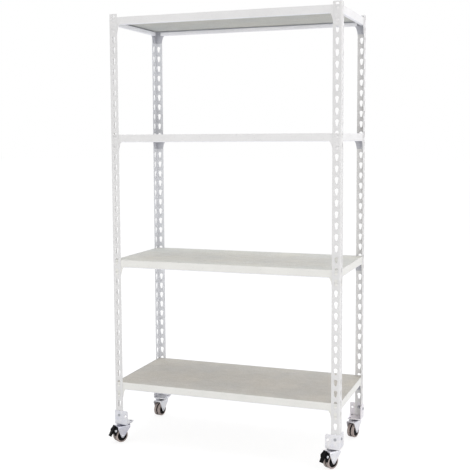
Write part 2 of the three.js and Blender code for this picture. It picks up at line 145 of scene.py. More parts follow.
# Places derived from the sizes
CROWN_TOP = -PLATE_SHEET - CUP_HEIGHT - GAP
CROWN_UNDER = CROWN_TOP - FORK_SHEET
AXLE_DOWN = CROWN_UNDER - CROWN_CLEARANCE - WHEEL_RADIUS
LEG_OUTSIDE = LEG_INSIDE + FORK_SHEET
PIVOT_OUT = TRAIL + (WHEEL_RADIUS + PIVOT_CLEARANCE) * math.cos(math.radians(PIVOT_ANGLE))
PIVOT_DOWN = AXLE_DOWN + (WHEEL_RADIUS + PIVOT_CLEARANCE) * math.sin(math.radians(PIVOT_ANGLE))
HOUSING_RIVET = (FORK_TRAIL - HOUSING_RIVET_IN, CROWN_UNDER - HOUSING_RIVET_DOWN)

# Finer shapes that only this script has, in millimetres; an ease is how far a rim is cut back
THIN_EASE = 0.3
SHEET_EASE = 0.4
MOULDED_EASE = 0.5
SOFT_EASE = 0.6
POST_ROUND = 1
WEB_TOP_ROUND = 1.5
WEB_FOOT_ROUND = 3
HAIR = 0.01
BOARD_ROUND = 1.5
RIVET_TAIL = 3.6
RIVET_TAIL_DEPTH = 0.9
RIVET_TAIL_RIM = 0.7
RIVET_RIM = 0.3
RIVET_AIR = 0.15

BASE_ROUND = 1
HEX_RADIUS = 4.6
HEX_HEIGHT = 3
BOLT_LENGTH = 10.9
BOLT_TIP = 0.5
WASHER_RADIUS = 5.6
WASHER_SHEET = 0.9
NUT_HEIGHT = 3.6
PLAY = 0.2
HEAD_AIR = 0.1
CAP_AIR = 0.05

RACE_DOWN = 1.6
RACE_AIR = 0.15
ROUND_HEAD = 4
ROUND_HEAD_RIM = 0.5
ROUND_HEAD_DOME = 1.6
SMALL_BOLT_END = 3.6
SMALL_BOLT_TIP = 0.4
SMALL_NUT_RADIUS = 4.3
SMALL_NUT_HEIGHT = 2.8
SMALL_NUT_DOWN = 1.5
SMALL_NUT_EASE = 0.35
NUT_TURN = 17
BOSS_FROM = 335
BOSS_TO = 205
AXLE_PLAY = 0.3
AXLE_RIM = 0.8
AXLE_DOME = 1.8
TYRE_LAP = 0.1
TREAD_ROUNDS = (0, 1.2, 3, 0.8)

CHEEK_ROUND = 1.5
EAR_TO = 62
BRIDGE_BACK = 0.5
BRIDGE_DOWN = 0.2
BRIDGE_NARROWER = 1.5
PIN_HOLE = 2.4
PIN_RADIUS = 2
PIN_CAP = 4.6
RIVET_HOLE = 2.2
NOSE_AIR = 0.4
NOSE_TIP_HALF = 10
NOSE_ROOT = 4
NOSE_ROOT_HALF = 60
SLAB_DROP = 1
SLAB_EASE = 0.8
RAIL_WIDTH = 1.8
RAIL_INSET = 1.6
RAIL_END = 1.2
RAIL_DEPTH = 1.4
RIB_COUNT = 6
RIB_HALF = 0.9
RIB_DROP = 0.1
RIB_END = 5

# Steps of curves and sides of round shapes
CORNER_STEPS = 4
ROUND_STEPS = 5
BEND_STEPS = 3
DOME_STEPS = 5
FINE_STEPS = 6
FILLET_STEPS = 8
KEYHOLE_STEPS = 10
SHROUD_STEPS = 12
BOSS_STEPS = 14
ANGLE_CUTS = 3
FORK_CUTS = 4
HOLE_SIDES = 24
BOLT_HOLE_SIDES = 16
SHANK_SIDES = 16
RIVET_SIDES = 20
BOLT_SIDES = 24
PIN_SIDES = 28
CUP_SIDES = 40
CORE_SIDES = 56
TREAD_SIDES = 72

# Values of the mesh tools
INSIDE_ONLY = 1
SNAP = 0.0005
SHARPEST_MITRE = 0.4
SHARP_ANGLE = 32

# Tones as the photograph shows them, in sRGB of 0 to 255, and how far their clouds move them
WHITE = (255, 255, 255)
PAINT_TONES_AND_SHADES = {
    "post": (227, 226, 227),
    "beam": (233, 232, 233),
    # Lighter and bluer than the beam, for the lip's face under the board: painted light.
    "lip": (243, 243, 249),
    # Darker, for the shade in the gap under the board, and darker still on the left side: painted shade.
    "ledge": (196, 199, 209),
    "left_ledge": (164, 166, 175),
    # Lower beams lighter and warmer: painted light.
    "low_beam": (235, 234, 231),
    # Bluer, for the cool shade on the rear left post: painted shade.
    "rear_left_post": (226, 227, 232),
}
PAINT_CLOUD = (3, 3, 3)
PAINT_SPECK = (228, 228, 229)
# A darker, bluer tone for a beam's faces inside the unit: painted shade under the shelves.
INSIDE_SHADE_TONE = (196, 197, 205)
INSIDE_SHADE_CLOUD = (6, 6, 6)
# Beams of this shelf and those below take a lighter, warmer tone: painted light.
FIRST_LOW_SHELF = 3
# Each board is lighter or darker for the light that reaches it: painted light and shade.
BOARD_LIT_TONES = {1: (209, 210, 208), 2: (219, 217, 213), 3: (243, 243, 239), 4: (219, 215, 209)}
BOARD_MOTTLE = (7, 5, 2)
BOARD_FLAKE = (228, 226, 219)
BOARD_FINE = (222, 221, 216)
BOARD_STREAK = (236, 235, 233)
# Zinc tones, lighter or darker for the light at the corner that takes them: painted light and shade; the
# lilac and rosy tints are the plating's own.
ZINC_TINTS_AND_SHADES = {
    "lilac": (216, 216, 226),
    "dull": (225, 225, 231),
    "bright": (242, 241, 245),
    "rosy": (245, 241, 245),
    "plain": (238, 238, 242),
}
ZINC_PATCH = (8, 7, 3)
ZINC_STAIN = (212, 212, 216)
# Which zinc tone each corner takes, for the light on it there: painted light and shade.
BRACKET_ZINC = dict(zip(CORNERS, ("dull", "bright", "rosy", "plain")))
CASTER_ZINC = dict(zip(CORNERS, ("lilac", "bright", "bright", "plain")))
TREAD_TONES = ((160, 147, 144), (184, 172, 168))
TREAD_SCUFF = (196, 190, 188)
BLACK_TONES = ((5, 5, 7), (17, 17, 19))
STEEL_TONES = ((190, 192, 198), (222, 223, 228))
# Bolts darker than the bracket, partly for the shade on their small heads: painted shade.
BOLT_SHADED_TONES = ((160, 161, 166), (190, 191, 196))
RACE_TONES = ((14, 19, 32), (36, 44, 64))

# The face attribute that marks where a beam looks into the unit and is painted in shade, and how squarely it
# has to
INSIDE = "inside"
FACING = 0.9

# Floor and light; a lamp has a name, a place and a size in metres, watts and a tint
FLOOR_TONES = ((0.93, 0.93, 0.93), (0.95, 0.95, 0.95))
FLOOR_REACH = 40
FLOOR_GLOW = 1.17
FLOOR_SEEN = 0.7
WORLD_FILL = 0.657
WORLD_TINT = (0.997, 0.997, 1.0)
WORLD_SEEN = (1, 1, 1)
LAMPS = (
    ("right_high", (4.2, -0.6, 4.2), 2.6, 21, (1.0, 0.88, 0.75)),
    ("right_low", (5.0, -0.6, 0.8), 2.6, 43, (0.99, 1.0, 0.99)),
    ("front_right", (2.2, -3.2, 0.45), 1.4, 22.5, (1.0, 0.99, 0.95)),
    ("front_left", (-2.4, -3.2, 0.45), 1.4, 17, (1.0, 0.99, 0.91)),
    ("top", (0.0, 0.2, 4.8), 2.6, 47, (0.86, 0.95, 1.0)),
    ("back", (0.4, 4.2, 2.4), 3.0, 24, (0.85, 0.87, 1.0)),
)
LAMP_TARGET = Vector((0, 0, 0.75))

# Camera fitted to the photograph's edges: focal length and centre in pixels of the 470 pixel frame
FRAME_PIXELS = 470
FOCAL = 885.0
CENTRE = (225.4, 215.1)
CAMERA_PLACE = (1.0924, -3.0576, 1.1284)
CAMERA_YAW = 20.409
CAMERA_PITCH = 4.976
CAMERA_ROLL = -0.322
SENSOR = 36
VIEW_DEPTH = 100


# Outlines, as lists of (x, y)

def arc(cx, cy, radius, start, end, steps):
    angles = [math.radians(start + (end - start) * i / steps) for i in range(steps + 1)]
    return [(cx + radius * math.cos(a), cy + radius * math.sin(a)) for a in angles]


def circle(cx, cy, radius, sides=HOLE_SIDES):
    return arc(cx, cy, radius, 0, 360, sides)[:-1]


def hexagon(radius):
    return circle(0, 0, radius, 6)


def rectangle(left, bottom, right, top):
    return [(left, bottom), (right, bottom), (right, top), (left, top)]


def rounded(points, radius, steps=CORNER_STEPS):
    """The polygon with every corner rounded; radius is one number or one for each corner."""
    out = []
    n = len(points)
    for i, point in enumerate(points):
        r = radius[i] if isinstance(radius, (list, tuple)) else radius
        if r <= 0:
            out.append(tuple(point))
            continue
        p = Vector(point)
        back = (Vector(points[i - 1]) - p).normalized()
        ahead = (Vector(points[(i + 1) % n]) - p).normalized()
        half = back.angle(ahead) / 2
        reach = r / math.tan(half)
        centre = p + (back + ahead).normalized() * (r / math.sin(half))
        start = p + back * reach - centre
        end = p + ahead * reach - centre
        sweep = math.atan2(start.cross(end), start.dot(end))
        for k in range(steps + 1):
            a = sweep * k / steps
            out.append((centre.x + start.x * math.cos(a) - start.y * math.sin(a),
                        centre.y + start.x * math.sin(a) + start.y * math.cos(a)))
    return out


def turning(points):
    """Positive for an anticlockwise outline."""
    return sum(a[0] * b[1] - b[0] * a[1] for a, b in zip(points, points[1:] + points[:1]))


def mitre(a, b):
    """The direction to the left between two unit directions, and how much of a step it takes up."""
    normal = Vector((-a.y - b.y, a.x + b.x))
    normal.normalize()
    return normal, max(SHARPEST_MITRE, normal.dot(Vector((-a.y, a.x))))


def inset(points, distance):
    """The outline moved to its left by distance: inward when it runs anticlockwise."""
    out = []
    n = len(points)
    for i in range(n):
        p = Vector(points[i])
        a = (p - Vector(points[i - 1])).normalized()
        b = (Vector(points[(i + 1) % n]) - p).normalized()
        normal, stretch = mitre(a, b)
        out.append(tuple(p + normal * (distance / stretch)))
    return out


def ribbon(path, thickness):
    """The closed outline of a sheet of that thickness along an open path of points."""
    sides = []
    for sign in (1, -1):
        row = []
        for i, point in enumerate(path):
            p = Vector(point)
            a = (p - Vector(path[i - 1])).normalized() if i else None
            b = (Vector(path[i + 1]) - p).normalized() if i + 1 < len(path) else None
            a, b = a or b, b or a
            normal, stretch = mitre(a, b)
            row.append(tuple(p + normal * (sign * thickness / 2 / stretch)))
        sides.append(row)
    return sides[0] + sides[1][::-1]


def keyhole(cx, cy):
    """A keyhole with its wide round end up, on tangents down to the slot's end."""
    big, small = KEYHOLE_WIDTH / 2, SLOT_WIDTH / 2
    top = cy + KEYHOLE_HEIGHT / 2 - big
    bottom = cy - KEYHOLE_HEIGHT / 2 + small
    lean = math.degrees(math.asin((big - small) / (top - bottom)))
    wide = arc(cx, top, big, -lean, 180 + lean, KEYHOLE_STEPS)
    return wide + arc(cx, bottom, small, 180 + lean, 360 - lean, FINE_STEPS)


# Profiles for a lathe, as lists of (radius, height)

def dome(radius, height, foot, steps=DOME_STEPS):
    """A domed head that rises by height above its foot."""
    angles = [math.radians(90 * k / steps) for k in range(steps)]
    return [(radius * math.cos(a), foot + height * math.sin(a)) for a in angles] + [(0, foot + height)]


def mirrored(half):
    """The whole profile, from its half above the middle."""
    return [(r, -h) for r, h in half[::-1]] + half


# Meshes, as (vertices, faces) in millimetres

def plate(outline, holes, thickness, ease):
    """A flat plate in XY, centred on z = 0, with the rims of its outline and holes eased.

    The holes are convex, so a triangle with all its corners on one hole lies in that hole."""
    loops = [outline if turning(outline) > 0 else outline[::-1]]
    loops += [h if turning(h) < 0 else h[::-1] for h in holes]
    inner = [inset(loop, ease) for loop in loops]
    half = thickness / 2
    verts, faces = [], []
    rings = []
    for loop, small in zip(loops, inner):
        ring = []
        for points, z in ((small, half), (loop, half - ease), (loop, ease - half), (small, -half)):
            ring.append(len(verts))
            verts += [(x, y, z) for x, y in points]
        n = len(loop)
        for upper, lower in zip(ring, ring[1:]):
            faces += [(upper + i, lower + i, lower + (i + 1) % n, upper + (i + 1) % n) for i in range(n)]
        rings.append((ring[0], ring[3], n))
    index = [(a + i, b + i) for a, b, n in rings for i in range(n)]
    points = [Vector(point) for loop in inner for point in loop]
    starts = [sum(len(loop) for loop in inner[:k]) for k in range(len(inner))]
    rim = [(s + i, s + (i + 1) % len(loop)) for s, loop in zip(starts, inner) for i in range(len(loop))]
    owner = [k for k, loop in enumerate(inner) for point in loop]
    triangles, origins = delaunay_2d_cdt(points, rim, [], INSIDE_ONLY, SNAP)[2:4]
    for tri in triangles:
        tri = [origins[i][0] for i in tri]
        if owner[tri[0]] > 0 and len({owner[i] for i in tri}) == 1:
            continue
        faces.append(tuple(index[i][0] for i in tri))
        faces.append(tuple(index[i][1] for i in tri[::-1]))
    return verts, faces


def lathe(profile, sides):
    """A profile of (radius, height) turned about Z, in either direction; radii of 0 close it."""
    verts, faces, rings = [], [], []
    swept = sum((b[1] - a[1]) * (a[0] ** 2 + a[0] * b[0] + b[0] ** 2) for a, b in zip(profile, profile[1:]))
    profile = profile[::-1] if swept > 0 else profile
    angles = [2 * math.pi * i / sides for i in range(sides)]
    for r, h in profile:
        rings.append(len(verts))
        if r <= 0:
            verts.append((0, 0, h))
        else:
            verts += [(r * math.cos(a), r * math.sin(a), h) for a in angles]
    for k in range(len(profile) - 1):
        a, b = rings[k], rings[k + 1]
        for i in range(sides):
            j = (i + 1) % sides
            if profile[k][0] <= 0:
                faces.append((a, b + i, b + j))
            elif profile[k + 1][0] <= 0:
                faces.append((a + i, b, a + j))
            else:
                faces.append((a + i, b + i, b + j, a + j))
    return verts, faces


def prism(section, length):
    """A closed (y, z) section carried along X, centred on x = 0, with both ends capped."""
    section = section if turning(section) > 0 else section[::-1]
    n = len(section)
    verts = [(x, y, z) for x in (-length / 2, length / 2) for y, z in section]
    faces = [(i, (i + 1) % n, n + (i + 1) % n, n + i) for i in range(n)]
    faces.append(tuple(range(n - 1, -1, -1)))
    faces.append(tuple(range(n, 2 * n)))
    return verts, faces


def fold(mesh, flat, length, angle):
    """Folds a plate on both sides of x = 0, past a flat part, over a bend of that length.

    A positive angle folds towards +Z. y stays as it is."""
    verts, faces = mesh
    sweep = math.radians(angle)
    r = length / sweep
    out = []
    for x, y, z in verts:
        middle = min(abs(x), flat)
        curved = min(abs(x) - middle, length)
        left = abs(x) - middle - curved
        heading = sweep * curved / length
        px = middle + r * math.sin(heading)
        pz = r * (1 - math.cos(heading))
        px += left * math.cos(heading) - z * math.sin(heading)
        pz += left * math.sin(heading) + z * math.cos(heading)
        out.append((math.copysign(px, x) if x else px, y, pz))
    return out, faces


def cut_across(mesh, places):
    """The mesh with clean edges at x = each place, so that it can be folded there."""
    bm = bmesh.new()
    rows = [bm.verts.new(v) for v in mesh[0]]
    for face in mesh[1]:
        bm.faces.new([rows[i] for i in face])
    for x in places:
        everything = bm.verts[:] + bm.edges[:] + bm.faces[:]
        bmesh.ops.bisect_plane(bm, geom=everything, dist=SNAP, plane_co=(x, 0, 0), plane_no=X_AXIS)
    bm.verts.index_update()
    out = [tuple(v.co) for v in bm.verts], [tuple(v.index for v in f.verts) for f in bm.faces]
    bm.free()
    return out


def moved(mesh, matrix):
    verts, faces = mesh
    out = [tuple(matrix @ Vector(v)) for v in verts]
    if matrix.determinant() < 0:
        faces = [f[::-1] for f in faces]
    return out, faces


def joined(*meshes):
    verts, faces = [], []
    for v, f in meshes:
        base = len(verts)
        verts += v
        faces += [tuple(base + i for i in face) for face in f]
    return verts, faces


def shift(x, y, z):
    return Matrix.Translation((x, y, z))


def turn(angle, axis):
    return Matrix.Rotation(math.radians(angle), 4, axis)


def basis(x, y, z):
    """The matrix that takes the axes to these three directions."""
    return Matrix((x, y, z)).transposed().to_4x4()


def added(name, data):
    """A new object in the scene."""
    thing = bpy.data.objects.new(name, data)
    bpy.context.scene.collection.objects.link(thing)
    return thing


def make(name, mesh, place, material, body, replaces=()):
    """A piece in the row frame, from a mesh in millimetres and its place and body."""
    verts, faces = mesh
    data = bpy.data.meshes.new(name)
    data.from_pydata([tuple((place @ Vector(v)) * MM) for v in verts], [], faces)
    data.validate()
    data.materials.append(material)
    data.shade_smooth()
    data.set_sharp_from_angle(angle=math.radians(SHARP_ANGLE))
    piece = added(name, data)
    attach(piece, body)
    if replaces:
        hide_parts(*replaces)
    return piece


# Shader nodes

def nodes_of(name):
    """A new material with its shader and its object coordinates."""
    material = bpy.data.materials.new(name)
    material.use_nodes = True
    tree = material.node_tree
    tree.nodes.clear()
    out = tree.nodes.new("ShaderNodeOutputMaterial")
    shader = tree.nodes.new("ShaderNodeBsdfPrincipled")
    link(shader.outputs[0], out.inputs[0])
    coords = tree.nodes.new("ShaderNodeTexCoord")
    return material, shader, coords.outputs["Object"]


def link(source, target):
    source.id_data.links.new(source, target)


def settle(node, **values):
    """Sets the named inputs of a node, with _ for each space in a name."""
    for name, value in values.items():
        node.inputs[name.replace("_", " ")].default_value = value


def new_node(socket, kind, **values):
    """A new node in the tree of a socket, with its named inputs set."""
    node = socket.id_data.nodes.new(f"ShaderNode{kind}")
    settle(node, **values)
    return node


def feed(socket, value):
    """Gives a socket a link or a fixed value."""
    if hasattr(value, "is_linked"):
        link(value, socket)
    else:
        socket.default_value = value


def noise(coords, scale, detail=3, rough=0.5, stretch=None):
    if stretch:
        mapping = new_node(coords, "Mapping", Scale=stretch)
        link(coords, mapping.inputs[0])
        coords = mapping.outputs[0]
    node = new_node(coords, "TexNoise", Scale=scale, Detail=detail, Roughness=rough)
    link(coords, node.inputs["Vector"])
    return node.outputs["Fac"]


def ramp(value, *stops):
    """A colour ramp from stops of (position, linear colour)."""
    node = new_node(value, "ValToRGB")
    while len(node.color_ramp.elements) < len(stops):
        node.color_ramp.elements.new(0.5)
    for element, (position, colour) in zip(node.color_ramp.elements, stops):
        element.position = position
        element.color = (*colour, 1)
    link(value, node.inputs[0])
    return node.outputs[0]


def tones(value, *stops):
    """A colour ramp from stops of (position, tone)."""
    return ramp(value, *[(position, srgb(*tone)) for position, tone in stops])


def clouded(value, tone, cloud, start=0.3, end=0.7):
    """A colour ramp from a little darker than the tone to a little lighter."""
    darker = [c - d for c, d in zip(tone, cloud)]
    lighter = [c + d for c, d in zip(tone, cloud)]
    return tones(value, (start, darker), (end, lighter))


def spread(value, low, high):
    """The middle of a noise's range spread from low to high."""
    node = new_node(value, "MapRange", From_Min=0.3, From_Max=0.7, To_Min=low, To_Max=high)
    link(value, node.inputs[0])
    return node.outputs[0]


def mix(factor, a, b, mode="MIX"):
    node = new_node(a, "Mix")
    node.data_type = "RGBA"
    node.blend_type = mode
    for name, value in (("Factor", factor), ("A", a), ("B", b)):
        feed([s for s in node.inputs if s.name == name and s.enabled][0], value)
    return [s for s in node.outputs if s.enabled][0]


def calculated(operation, a, b):
    node = new_node(a, "Math")
    node.operation = operation
    feed(node.inputs[0], a)
    feed(node.inputs[1], b)
    return node.outputs[0]


def show_mixed(out, factor, first, second):
    """Links a mix of two shaders to an output."""
    node = new_node(factor, "MixShader")
    for socket, source in zip(node.inputs, (factor, first, second)):
        link(source, socket)
    link(node.outputs[0], out.inputs[0])


def surface(shader, colour, roughness, **even):
    """Links the colour and the roughness, and sets what is the same all over."""
    link(colour, shader.inputs["Base Color"])
    link(roughness, shader.inputs["Roughness"])
    settle(shader, **even)


def bump(shader, height, strength, distance):
    node = new_node(height, "Bump", Strength=strength, Distance=distance)
    link(height, node.inputs["Height"])
    link(node.outputs[0], shader.inputs["Normal"])


def srgb(r, g, b):
    """The linear colour of a tone."""
    parts = [c / 255 for c in (r, g, b)]
    return tuple(c / 12.92 if c <= 0.04045 else ((c + 0.055) / 1.055) ** 2.4 for c in parts)


# Materials

def white_paint(part, tone):
    """Satin powder coat: fine orange peel, faint clouds and a few dull spots. Each kind of part has its own
    tone; some tones are lighter, darker or bluer for the light that falls there, which is painted light and
    shade.

    A beam is painted darker and bluer where it looks into the unit: painted shade under the shelves."""
    material, shader, coords = nodes_of(f"white_powder_coat_{part}")
    cloud = clouded(noise(coords, scale=9, detail=4), tone, PAINT_CLOUD)
    speck = tones(noise(coords, scale=260, detail=2), (0.28, PAINT_SPECK), (0.36, WHITE))
    coat = mix(0.5, cloud, speck, "MULTIPLY")
    if "beam" in part:
        inside = new_node(coords, "Attribute")
        inside.attribute_name = INSIDE
        # A darker, bluer tone for the inside faces: painted shade under the shelves.
        inside_shade = clouded(noise(coords, scale=60, detail=4), INSIDE_SHADE_TONE, INSIDE_SHADE_CLOUD)
        coat = mix(inside.outputs["Fac"], coat, inside_shade)
    gloss = spread(noise(coords, scale=35), low=0.38, high=0.52)
    surface(shader, coat, gloss, Coat_Weight=0.08, Coat_Roughness=0.25)
    bump(shader, noise(coords, scale=900, detail=2), strength=0.25, distance=0.0001)
    return material


def board_face(number, tone):
    """Warm grey faced board: fine pressed grain, soft mottling, matt. Each board's tone is lighter or darker
    for the light that reaches it: painted light and shade.
    """
    material, shader, coords = nodes_of(f"grey_board_{number}")
    broad = noise(coords, scale=5, detail=5, rough=0.6)
    cloud = clouded(broad, tone, BOARD_MOTTLE, start=0.28, end=0.72)
    chips = new_node(coords, "TexVoronoi", Scale=210, Randomness=1)
    link(coords, chips.inputs["Vector"])
    flake = tones(chips.outputs["Distance"], (0.05, BOARD_FLAKE), (0.6, WHITE))
    fine = tones(noise(coords, scale=600, rough=0.7), (0.3, BOARD_FINE), (0.6, WHITE))
    long_noise = noise(coords, scale=25, detail=4, rough=0.6, stretch=(1, 1.6, 1))
    streak = tones(long_noise, (0.3, BOARD_STREAK), (0.7, WHITE))
    colour = cloud
    for layer in (streak, flake, fine):
        colour = mix(0.6, colour, layer, "MULTIPLY")
    surface(shader, colour, spread(noise(coords, scale=40), low=0.68, high=0.85))
    bump(shader, noise(coords, scale=420, detail=4, rough=0.6), strength=0.35, distance=0.0002)
    return material


def zinc(look, tone):
    """Bright zinc plate on pressed steel: faint lilac and straw patches, rolling marks, uneven gloss. Each
    look is lighter or darker for the light at the corner that takes it: painted light and shade.
    """
    material, shader, coords = nodes_of(f"zinc_plate_{look}")
    darker = [c - d for c, d in zip(tone, ZINC_PATCH)]
    lighter = [c + d for c, d in zip(tone, ZINC_PATCH)]
    patch = tones(noise(coords, scale=70), (0.25, darker), (0.5, tone), (0.75, lighter))
    stain = tones(noise(coords, scale=420, rough=0.6), (0.3, ZINC_STAIN), (0.55, WHITE))
    gloss = spread(noise(coords, scale=160), low=0.3, high=0.48)
    surface(shader, mix(0.45, patch, stain, "MULTIPLY"), gloss, Metallic=0.8)
    rolled = noise(coords, scale=300, rough=0.6, stretch=(1, 1, 6))
    bump(shader, rolled, strength=0.2, distance=0.0001)
    return material


def metal(name, pair, patches, gloss, grain, metallic):
    """Metal of two mixed tones. gloss is (scale, low, high) and grain (scale, strength, distance)."""
    material, shader, coords = nodes_of(name)
    colour = tones(noise(coords, patches), (0.3, pair[0]), (0.7, pair[1]))
    rough = spread(noise(coords, gloss[0], detail=2), *gloss[1:])
    surface(shader, colour, rough, Metallic=metallic)
    bump(shader, noise(coords, grain[0], detail=2), *grain[1:])
    return material


def bright_steel():
    """Headed steel: the axles, rivets and pins of the casters."""
    return metal("bright_steel", STEEL_TONES, 500, (900, 0.2, 0.36), (1500, 0.15, 0.00005), 0.9)


def bolt_steel():
    """Dull plated bolts, darker than the bracket round them; the darker tone also stands for the shade on
    their small heads: painted shade.
    """
    return metal("bolt_steel", BOLT_SHADED_TONES, 600, (900, 0.28, 0.46), (1500, 0.15, 0.00005), 0.85)


def dark_race():
    """Greased ball race between plate and fork."""
    return metal("dark_race", RACE_TONES, 350, (500, 0.3, 0.55), (1200, 0.2, 0.0001), 0.6)


def black_plastic():
    """Moulded black plastic: spark-eroded grain with faint greyer patches."""
    material, shader, coords = nodes_of("black_plastic")
    dark, light = BLACK_TONES
    colour = tones(noise(coords, scale=120, detail=4), (0.35, dark), (0.8, light))
    gloss = spread(noise(coords, scale=240), low=0.36, high=0.55)
    surface(shader, colour, gloss, Specular_IOR_Level=0.12)
    bump(shader, noise(coords, scale=2200, detail=2), strength=0.35, distance=0.0001)
    return material


def grey_tread():
    """Soft grey-brown tread rubber with a little floor dust and fine scuffs."""
    material, shader, coords = nodes_of("grey_tread")
    dark, light = TREAD_TONES
    rubber = tones(noise(coords, scale=90, detail=4), (0.3, dark), (0.7, light))
    scuff = tones(noise(coords, scale=700, rough=0.7), (0.3, TREAD_SCUFF), (0.55, WHITE))
    gloss = spread(noise(coords, scale=200), low=0.5, high=0.75)
    surface(shader, mix(0.6, rubber, scuff, "MULTIPLY"), gloss)
    bump(shader, noise(coords, scale=1100), strength=0.3, distance=0.0001)
    return material


PAINT = {part: white_paint(part, tone) for part, tone in PAINT_TONES_AND_SHADES.items()}
BOARDS = {number: board_face(number, tone) for number, tone in BOARD_LIT_TONES.items()}
ZINC = {look: zinc(look, tone) for look, tone in ZINC_TINTS_AND_SHADES.items()}
STEEL = bright_steel()
BOLT = bolt_steel()
RACE = dark_race()
BLACK = black_plastic()
TREAD = grey_tread()


# Places in the row frame, in millimetres

def low(node):
    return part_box(node)[0] / MM


def high(node):
    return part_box(node)[1] / MM


def joint(name):
    return [j for j in frame["joints"] if j["name"] == name][0]


def corner_place(name):
    """The frame of a corner: the post's outer edge at (0, 0), the inside of the unit along +X and +Y."""
    post = f"post_{name}"
    x = low(post).x if name.endswith("left") else high(post).x
    y = low(post).y if name.startswith("front") else high(post).y
    return shift(x, y, 0) @ turn(90 * CORNERS.index(name), "Z")


def swivel_place(name):
    """The frame of a caster: z = 0 on top of its plate, the swivel axis at x = y = 0, the wheel along -Y."""
    centre = Vector(joint(f"{name}_swivel")["pos_m"]) / MM
    axle = joint(f"{name}_wheel_spin")["axis"]
    return Matrix.Translation(centre) @ turn(math.degrees(math.atan2(axle[1], axle[0])), "Z")


# Posts

def folded_angle(strip, sheet, bend):
    """A strip drawn with its fold line at x = 0 and y up, folded to an L with its outer edge at (0, 0)."""
    middle = bend - sheet / 2
    reach = middle * math.pi / 4
    cuts = [reach * k / ANGLE_CUTS for k in range(-ANGLE_CUTS, ANGLE_CUTS + 1)]
    bent = fold(cut_across(strip, cuts), 0, reach, 45)
    apex = bend - middle * math.sqrt(0.5)
    along = Vector((1, -1, 0)).normalized()
    inward = Vector((1, 1, 0)).normalized()
    return moved(bent, shift(apex, apex, 0) @ basis(along, Z_AXIS, inward))


def unfolded(distance, sheet, bend):
    """Where a point at that distance from the outer edge lies on the strip."""
    return (bend - sheet / 2) * math.pi / 4 + distance - bend


def post_mesh(length):
    edge = unfolded(POST_FLANGE, POST_SHEET, POST_BEND)
    middle = unfolded(POST_FLANGE / 2, POST_SHEET, POST_BEND)
    outline = rounded(rectangle(-edge, 0, edge, length), POST_ROUND)
    rows = [FOOT_HOLE + HOLE_PITCH * i for i in range(HOLE_COUNT)]
    holes = [keyhole(s * middle, y) for s in (-1, 1) for y in rows]
    return folded_angle(plate(outline, holes, POST_SHEET, THIN_EASE), POST_SHEET, POST_BEND)


def add_posts():
    length = high("post_front_left").z - low("post_front_left").z
    mesh = post_mesh(length)
    for name in CORNERS:
        node = f"post_{name}"
        place = corner_place(name) @ shift(0, 0, low(node).z)
        # The rear left post's bluer tone is painted shade.
        paint = PAINT.get(f"{name}_post", PAINT["post"])
        make(f"{node}_punched", mesh, place, paint, "frame", (node,))


# Beams and boards

def web_mesh(span):
    """The beam's upright sheet with a widened end plate at each end, its outside on y = 0."""
    end = span / 2 - BEAM_END_INSET
    edge = span / 2 - POST_FLANGE
    top = -BEAM_HEIGHT + BEAM_BEND + BEAM_SHEET / 2
    drop = GUSSET_HEIGHT - BEAM_HEIGHT
    fillet = []
    for i in range(FILLET_STEPS + 1):
        t = i / FILLET_STEPS
        a, b, c = (1 - t) ** 2, 2 * t * (1 - t), t * t
        fillet.append((edge - GUSSET_REACH * (a + b / 4), -BEAM_HEIGHT - drop * (b / 4 + c)))
    corners = [(edge, -GUSSET_HEIGHT), (end, -GUSSET_HEIGHT), (end, 0), (edge, 0)]
    foot = rounded(corners, (0, WEB_FOOT_ROUND, WEB_TOP_ROUND, 0))[1:-1]
    right = [(edge - GUSSET_REACH, top)] + fillet + foot
    outline = right + [(-x, y) for x, y in right[::-1]]
    flat = plate(outline, (), BEAM_SHEET, THIN_EASE)
    return moved(flat, shift(0, BEAM_SHEET / 2, 0) @ turn(90, "X"))


def lip_mesh(length):
    """The beam's bottom flange and the upturned lip at its inner edge.

    The first bend is a hair smaller than its leg, so that the leg's two points stay apart."""
    half = BEAM_SHEET / 2
    inner = BEAM_FLANGE - half
    top = BEAM_LIP - half
    path = [(half, BEAM_BEND + half), (half, half), (inner, half), (inner, top)]
    path.append((inner - BEAM_BEND - half, top))
    return pressed(path, (0, BEAM_BEND - HAIR, BEAM_BEND, BEAM_BEND, 0), length)


def ledge_mesh(length):
    """The return from the lip and the ledge behind it that carries the board."""
    half = BEAM_SHEET / 2
    back = LEDGE_INSET + half
    top = BEAM_LIP - half
    path = [(BEAM_FLANGE - BEAM_BEND - BEAM_SHEET, top), (back, top), (back, LEDGE_TOP)]
    return pressed(path, (0, BEAM_BEND, 0), length)


def pressed(path, bends, length):
    """Sheet along a (depth, height) path with rounded bends, carried along X below the beam's top."""
    section = ribbon(rounded(path, bends, BEND_STEPS), BEAM_SHEET)
    return moved(prism(section, length), shift(0, 0, -BEAM_HEIGHT))


def rivet_mesh():
    """A domed head outside the post, its shank and the upset tail inside the web, along +Z outward."""
    face = GAP + POST_SHEET + RIVET_AIR
    inner = -BEAM_SHEET
    tail = [(0, inner - RIVET_TAIL_DEPTH), (RIVET_RADIUS, inner - RIVET_TAIL_RIM), (RIVET_TAIL, inner)]
    shank = [(RIVET_RADIUS, inner), (RIVET_RADIUS, face), (RIVET_HEAD, face)]
    return lathe(tail + shank + dome(RIVET_HEAD, RIVET_DOME, face + RIVET_RIM), RIVET_SIDES)


def beam_meshes(span):
    rivet = rivet_mesh()
    rivets = []
    for side in (-1, 1):
        for drop in (RIVET_DROP, RIVET_DROP + HOLE_PITCH):
            place = shift(side * (span / 2 - POST_FLANGE / 2), 0, -drop) @ turn(90, "X")
            rivets.append(moved(rivet, place))
    length = span - 2 * POST_FLANGE
    return {"web": joined(web_mesh(span), *rivets), "lip": lip_mesh(length), "ledge": ledge_mesh(length)}


